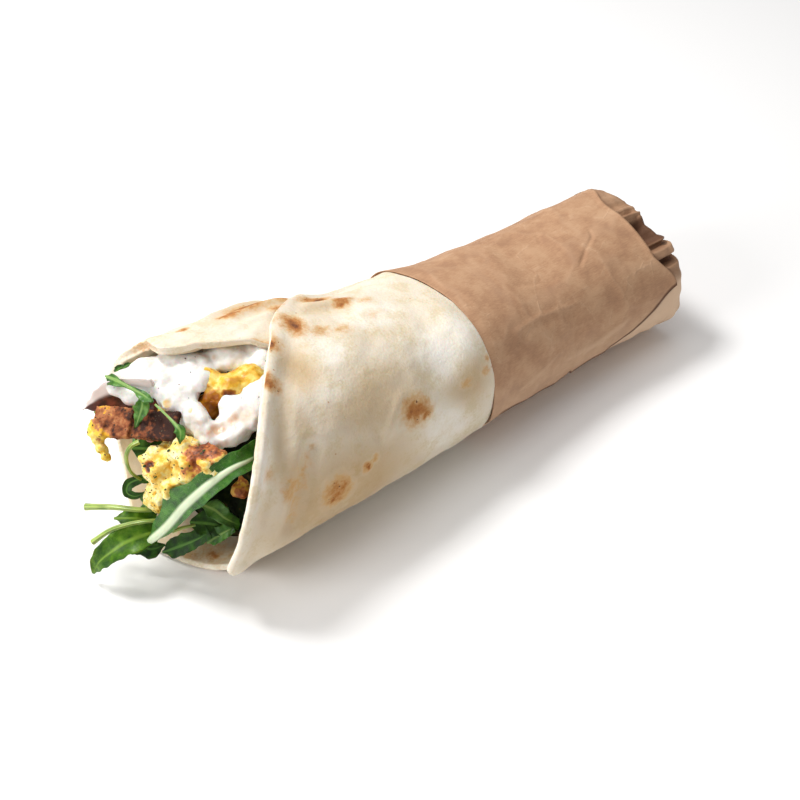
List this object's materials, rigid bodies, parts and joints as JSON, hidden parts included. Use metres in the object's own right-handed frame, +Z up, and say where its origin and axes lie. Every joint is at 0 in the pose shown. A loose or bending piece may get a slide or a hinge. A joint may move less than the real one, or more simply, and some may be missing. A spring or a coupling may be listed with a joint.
{
  "type": "potato omelette wrap",
  "caption": "Rolled flatbread wrap lying on its side, open end showing potato omelette, white yogurt sauce and rocket leaves, its closed half in a plain kraft paper sleeve gathered shut.",
  "frame": {"origin": "on the flat underside of the paper sleeve, just behind its front edge, where the wrap rests", "axes": "+X along the roll from the open mouth to the gathered end of the paper, +Y to the far side, +Z up from the surface that the wrap lies on"},
  "size_m": [0.2478, 0.0832, 0.0685],
  "materials": {
    "flatbread": "dry, floury baked crust with toasted spots",
    "kraft_paper": "matt brown wrapping paper",
    "packed_filling": "rough, moist",
    "yogurt": "smooth, moist",
    "red_petal": "smooth, moist",
    "browned_omelette": "fried brown skin",
    "omelette": "soft, slightly moist",
    "rocket_stalk": "smooth, fresh",
    "rocket_leaf": "satin, fresh leaf"
  },
  "bodies": {
    "root": {"filling_core": "packed_filling", "flatbread": "flatbread", "omelette_chunk": "omelette", "omelette_curl": "omelette", "omelette_far": "omelette", "omelette_scrap": "omelette", "omelette_slab": "browned_omelette", "paper_sleeve": "kraft_paper", "red_petal": "red_petal", "rocket_bit_behind_slab": "rocket_leaf", "rocket_bit_far_left": "rocket_leaf", "rocket_bit_far_right": "rocket_leaf", "rocket_leaf_broad": "rocket_leaf", "rocket_leaf_curl": "rocket_leaf", "rocket_leaf_drooping": "rocket_leaf", "rocket_leaf_far_high": "rocket_leaf", "rocket_leaf_far_low": "rocket_leaf", "rocket_leaf_inner": "rocket_leaf", "rocket_leaf_inner_dark": "rocket_leaf", "rocket_leaf_left": "rocket_leaf", "rocket_leaf_low_left": "rocket_leaf", "rocket_leaf_low_middle": "rocket_leaf", "rocket_leaf_low_right": "rocket_leaf", "rocket_leaf_under_slab": "rocket_leaf", "rocket_leaf_upper": "rocket_leaf", "rocket_leaf_upper_lobe": "rocket_leaf", "rocket_leaf_upper_tip": "rocket_leaf", "rocket_stalk_far": "rocket_stalk", "rocket_stalk_left": "rocket_stalk", "rocket_stalk_loop": "rocket_stalk", "rocket_stalk_low": "rocket_stalk", "rocket_stalk_scrap": "rocket_stalk", "yogurt_sauce": "yogurt"}
  },
  "joints": []
}
